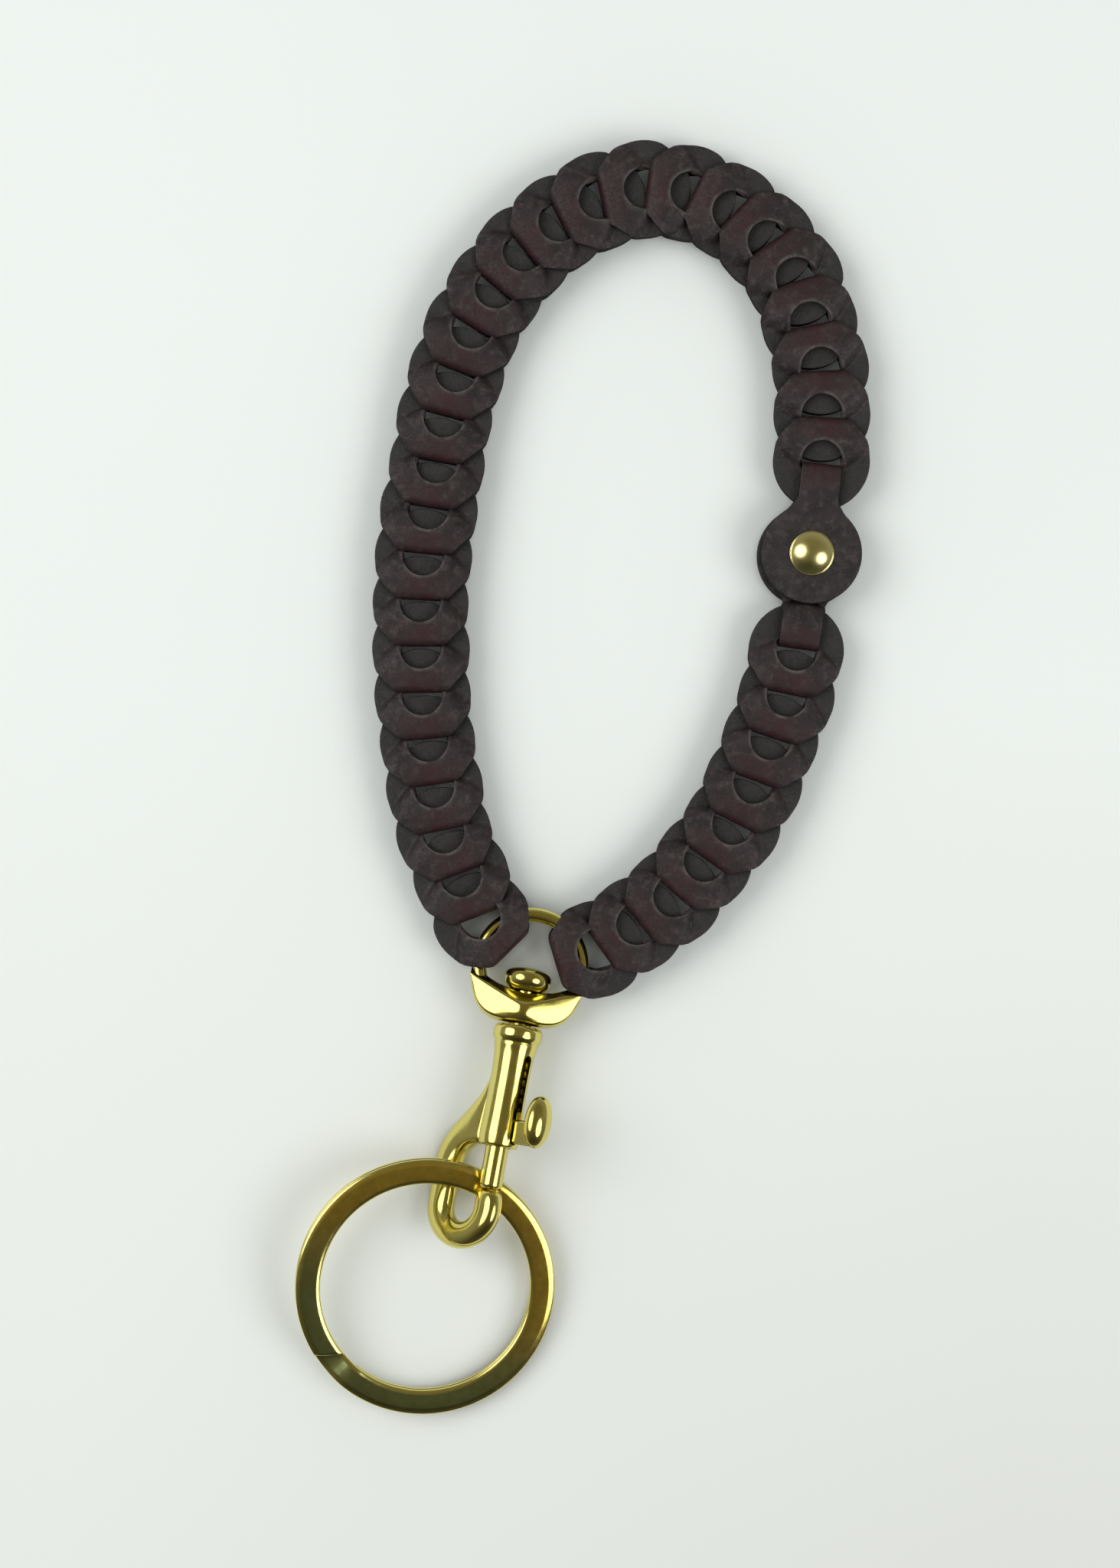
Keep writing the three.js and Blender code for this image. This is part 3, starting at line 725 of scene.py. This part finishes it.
def hook_stations():
    """Pairs of points on the hook's outer and inner outline, with half depth and squareness."""
    left = -hook_left
    inner_left = hook_x - hook_inner[0]
    stations = []
    outer = bezier((-2.55, 15.0), (-2.75, 21.5), (left, 23.5), (left, 31), 30)
    barrel_side = np.linspace((-2.3, 16.2), (-2.3, 26.4), 17)
    crook = bezier((-2.3, 26.7), (-5.2 * stretch, 26.8), (inner_left, 28.2), (inner_left, 31.5), 14)[1:]
    inner = np.vstack([barrel_side, crook])
    for i, (o, n) in enumerate(zip(outer, inner)):
        t = i / 29
        stations.append((o, n, 1.3 + 0.25 * t, 5.0 - 2.6 * t))
    for a in (32.5, 34.2):
        stations.append(((left, a), (inner_left, a), 1.55, 2.4))
    for turn in np.radians(np.linspace(180, 0, 27)):
        o = (hook_x + hook_outer[0] * math.cos(turn), HOOK_A + hook_outer[1] * math.sin(turn))
        n = (hook_x + hook_inner[0] * math.cos(turn), HOOK_A + hook_inner[1] * math.sin(turn))
        stations.append((o, n, 1.6, 2.3))
    right = hook_x + hook_outer[0]
    inner_right = hook_x + hook_inner[0]
    stations.append(((right - 0.05, 35.0), (inner_right + 0.02, 35.0), 1.6, 2.3))
    stations.append(((right - 0.25, 34.1), (inner_right + 0.1, 34.1), 1.55, 2.3))
    stations.append(((right - 0.45, 33.65), (inner_right + 0.25, 33.65), 1.4, 2.3))
    stations.append(((right - 0.75, 33.45), (inner_right + 0.55, 33.45), 1.15, 2.3))
    return stations


def superellipse_ring(outer, inner, depth, power, count=28):
    outer, inner = np.asarray(outer, float), np.asarray(inner, float)
    middle, arm = (outer + inner) / 2, (outer - inner) / 2
    turn = np.linspace(0, 2 * math.pi, count, endpoint=False)
    c = np.sign(np.cos(turn)) * np.abs(np.cos(turn)) ** (2 / power)
    s = np.sign(np.sin(turn)) * np.abs(np.sin(turn)) ** (2 / power)
    flat = middle + np.outer(c, arm)
    return np.c_[flat[:, 0], -flat[:, 1], depth * s]


# the swivel's button and neck, the collar, the barrel's outside, and back up its bore
barrel_profile = rounded(
    [(0, 0.4), (2.0, 0.45), (3.3, 1.15), (3.5, 2.2), (3.2, 3.15), (2.3, 3.78), (1.5, 3.82),
     (1.45, 9.0), (3.2, 9.05), (3.65, 9.6), (3.62, 10.9), (3.2, 11.55), (3.22, 11.9),
     (3.0, 13), (2.82, 16), (2.85, 21), (3.02, 25.2), (2.84, 26.9),
     (2.0, 26.9), (2.0, 11.9), (0, 11.9)],
    [0, 0.9, 0.8, 0.8, 0.7, 0.5, 0.2,
     0.1, 0.3, 0.5, 0.5, 0.12, 0.3,
     1.0, 1.5, 1.5, 0.9, 0.5,
     0.3, 0.1, 0],
    5)
barrel = build("snap_barrel_cut", [lathe(barrel_profile, 80)], snap_place)
end_turn = np.linspace(0, math.pi, 9)
slot_plan = [(SLOT_HALF * math.cos(t), SLOT_TO - SLOT_HALF + SLOT_HALF * math.sin(t)) for t in end_turn]
slot_plan += [(-SLOT_HALF * math.cos(t), SLOT_FROM + SLOT_HALF - SLOT_HALF * math.sin(t)) for t in end_turn]
slot_sections = [[(x, -a, z) for z, a in slot_plan] for x in (0.8, 4.0)]
slot_tool = build("slot_tool", [loft(slot_sections)], snap_place)
cut(barrel, slot_tool)
barrel.name = "snap_barrel"
finish_metal(baked(barrel, 40), BRASS, "snap_body")

hook = build("snap_hook", [loft([superellipse_ring(*station) for station in hook_stations()])], snap_place)
finish_metal(baked(hook, 50), BRASS, "snap_body")

rod_from, rod_to = -rod_points[:, 1].max(), -rod_points[:, 1].min()
rod_profile = rounded([(0, rod_from), (1.7, rod_from), (1.7, rod_to), (0, rod_to)], [0, 0.3, 0.7, 0], 6)
rod = build("bolt_rod_round", [lathe(rod_profile, 48)], snap_place)
finish_metal(baked(rod), BRASS, "bolt_rod")


def knob_shells():
    """A bean-shaped pad on a flat stem."""
    top = knob_points[:, 0].max()
    along = (-knob_points[:, 1].max() - knob_points[:, 1].min()) / 2
    half_length = (knob_points[:, 1].max() - knob_points[:, 1].min()) / 2
    depth, width = 1.72, 2.25
    reach = top - depth
    rows, columns = 25, 40
    turn = np.linspace(0, 2 * math.pi, columns, endpoint=False)
    pad = []
    for t in np.linspace(-math.pi / 2, math.pi / 2, rows):
        size = math.cos(t) ** 0.86
        level = np.full(columns, -along - half_length * math.sin(t))
        pad.append(np.c_[reach + depth * size * np.cos(turn), level, width * size * np.sin(turn)])
    pad_shell = (np.vstack(pad), grid_faces(rows, columns))
    stem = []
    for x, half in ((1.9, 1.75), (3.0, 1.75), (reach - 1.0, 1.85), (reach, 1.95)):
        flat = rounded([(-half, -0.52), (half, -0.52), (half, 0.52), (-half, 0.52)], 0.4, 4, closed=True)
        stem.append(np.c_[np.full(len(flat), x), flat[:, 0] - STEM_AT, flat[:, 1]])
    return [pad_shell, loft(stem)]


knob = build("thumb_knob_pad", knob_shells(), snap_place)
finish_metal(baked(knob, 50), BRASS, "thumb_knob")


def helix_sections(start, end, radius, wire, turns):
    sections = []
    section = np.linspace(0, 2 * math.pi, 10, endpoint=False)
    for t in np.linspace(0, 1, turns * 20 + 1):
        turn = t * turns * 2 * math.pi
        out = np.array([math.cos(turn), 0, math.sin(turn)])
        middle = out * radius + [0, -(start + (end - start) * t), 0]
        ring = [middle + wire * (math.cos(s) * out + math.sin(s) * np.array([0, 1, 0])) for s in section]
        sections.append(ring)
    return sections


spring_from, spring_to = -spring_points[:, 1].max(), -spring_points[:, 1].min()
spring_shell = loft(helix_sections(spring_from + 0.25, spring_to - 0.25, 1.35, 0.22, 8))
spring = build("bolt_spring_wire", [spring_shell], snap_place)
finish_metal(baked(spring, 70), STEEL, "bolt_spring")
spring_anchor = snap_place.world([0, -spring_from, 0]) * MM
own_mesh(spring)

# ---------------------------------------------------------------- split key ring

ring_points = node_points("key_ring")
ring_centre = (ring_points.max(0) + ring_points.min(0)) / 2
_, _, spread = np.linalg.svd(ring_points - ring_points.mean(0), full_matrices=False)
ring_normal = spread[2] * np.sign(spread[2][2])
crossing = joint_place("key_ring_swing")
ring_y = crossing - ring_centre
ring_y = unit(ring_y - ring_normal * (ring_y @ ring_normal))
ring_centre = crossing - ring_y * RING_RADIUS
ring_place = Place(ring_centre, np.cross(ring_y, ring_normal), ring_y, ring_normal)


def ring_sections():
    """Two turns of flat wire. Its upper end is cut aslant, beside the ramp where the wire goes down a level.
    The edges are rolled, the outer one more than the inner."""
    half, thick = RING_WIDTH / 2, RING_COIL / 2
    upper = [(half, thick - 0.3), (half - 0.25, thick - 0.17), (half - 0.85, thick),
             (-half + 0.55, thick), (-half + 0.15, thick - 0.14), (-half, thick - 0.3)]
    flat = rounded(upper + [(x, -y) for x, y in upper[::-1]], 0.2, 3, closed=True)
    first, last = 0.002, 2 - RING_RAMP - 0.006
    sections = []
    for turns in [first, first + 0.0008, first + 0.0022, *np.linspace(first + 0.005, last, 330)]:
        drop = smoothstep(turns, 1 - RING_RAMP, 1) * RING_RISE
        slant = max(0.0, 1 - turns / 0.02) * 0.75 - max(0.0, 1 - (last - turns) / 0.02) * 0.75
        size = 1 - 0.3 * max(0.0, 1 - (turns - first) / 0.0022) ** 2
        ring = []
        for out, up in flat * [1, size]:
            turn = math.radians(RING_STEP_AT) - turns * 2 * math.pi - slant * out / RING_RADIUS
            radius = RING_RADIUS + out
            ring.append((radius * math.cos(turn), radius * math.sin(turn), RING_RISE / 2 - drop + up))
        sections.append(ring)
    return sections


def paint_ring(made):
    """Marks the wire's flat faces, and the side of the ring that gets a warmer painted reflection."""
    points = ring_place.local(np.array([v.co for v in made.data.vertices]) / MM)
    out = np.abs(np.hypot(points[:, 0], points[:, 1]) - RING_RADIUS)
    turn = np.arctan2(points[:, 1], points[:, 0])
    # Painted reflection: which side of the ring gets the coppery colour.
    painted_warm_side = smoothstep(np.cos(turn - math.radians(83)), -0.55, 0.35)
    face = 1 - smoothstep(out, RING_WIDTH / 2 - 0.8, RING_WIDTH / 2 - 0.2)
    paint(made.data, {"painted_warm_side": painted_warm_side, "face": face})


key_ring = build("key_ring_two_coils", [loft(ring_sections())], ring_place)
paint_ring(key_ring)
finish_metal(baked(key_ring, 40), RING_BRASS, "key_ring")

# ---------------------------------------------------------------- floor, light and camera

box_low, box_high = (np.array(corner) for corner in cad_box)
view_centre = (box_low + box_high)[:2] / 2 + np.array(VIEW_SHIFT) * MM
floor_height = box_low[2] / MM - FLOOR_GAP


def floor_piece():
    across = (-FLOOR_HALF, FLOOR_HALF)
    points = [(x, y, floor_height) for x in across for y in across]
    made = build("paper_floor", [(np.array(points), [(0, 1, 3, 2)])], Place([0, 0, 0], *np.eye(3)))
    made.data.materials.append(paper_material())


def soft_box(name, azimuth, from_zenith, size, power):
    """A round soft light, at this compass direction and this far down from straight overhead."""
    light = bpy.data.lights.new(name, "AREA")
    light.shape = "DISK"
    light.size = size
    light.energy = power
    lamp = bpy.data.objects.new(name, light)
    bpy.context.scene.collection.objects.link(lamp)
    turn, tilt = math.radians(azimuth), math.radians(from_zenith)
    away = Vector((math.sin(tilt) * math.cos(turn), math.sin(tilt) * math.sin(turn), math.cos(tilt)))
    lamp.location = Vector((view_centre[0], view_centre[1], 0)) + away * LAMP_DISTANCE
    lamp.rotation_euler = away.to_track_quat("Z", "Y").to_euler()


def studio_world():
    """White walls and a dim ceiling, as polished brass sees them; plain soft white for everything else."""
    world = bpy.data.worlds.new("studio")
    bpy.context.scene.world = world
    world.use_nodes = True
    tree = world.node_tree
    tree.nodes.clear()
    add = tree.nodes.new
    coordinates = add("ShaderNodeTexCoord")
    split = add("ShaderNodeSeparateXYZ")
    tree.links.new(coordinates.outputs["Generated"], split.inputs[0])
    ramp = add("ShaderNodeValToRGB")
    tree.links.new(split.outputs["Z"], ramp.inputs[0])
    stops = ((0.0, (0.34, 0.34, 0.31)), (0.35, (0.30, 0.29, 0.24)), (0.62, (0.19, 0.17, 0.11)),
             (0.90, (0.19, 0.165, 0.10)), (1.0, (0.18, 0.155, 0.09)))
    elements = ramp.color_ramp.elements
    while len(elements) < len(stops):
        elements.new(0.5)
    for element, (place, colour) in zip(elements, stops):
        element.position = place
        element.color = (*colour, 1)
    seen = add("ShaderNodeBackground")
    plain = add("ShaderNodeBackground")
    choose = add("ShaderNodeMixShader")
    tree.links.new(ramp.outputs[0], seen.inputs["Color"])
    shade = add("ShaderNodeMapRange")
    for key, number in (("From Min", -0.7), ("From Max", 0.1), ("To Min", 0.2), ("To Max", 0.9)):
        shade.inputs[key].default_value = number
    tree.links.new(split.outputs["Y"], shade.inputs["Value"])
    tree.links.new(shade.outputs[0], seen.inputs["Strength"])
    plain.inputs["Color"].default_value = (0.97, 1.0, 0.985, 1)
    plain.inputs["Strength"].default_value = 0.54
    path = add("ShaderNodeLightPath")
    tree.links.new(path.outputs["Is Glossy Ray"], choose.inputs[0])
    tree.links.new(plain.outputs[0], choose.inputs[1])
    tree.links.new(seen.outputs[0], choose.inputs[2])
    tree.links.new(choose.outputs[0], add("ShaderNodeOutputWorld").inputs["Surface"])


def overhead_camera():
    """Looks straight down."""
    camera = bpy.data.cameras.new("overhead")
    camera.sensor_fit = "VERTICAL"
    camera.sensor_height = 24
    camera.lens = camera.sensor_height * CAMERA_HEIGHT / FLOOR_SEEN
    camera.clip_end = 20
    holder = bpy.data.objects.new("overhead", camera)
    holder.location = (view_centre[0], view_centre[1], CAMERA_HEIGHT)
    bpy.context.scene.collection.objects.link(holder)
    bpy.context.scene.camera = holder


floor_piece()
soft_box("left_box", 162, 41, 0.70, 3.3)
soft_box("right_box", -20, 43, 0.58, 2.5)
studio_world()
overhead_camera()
bpy.context.scene.view_settings.view_transform = "Standard"
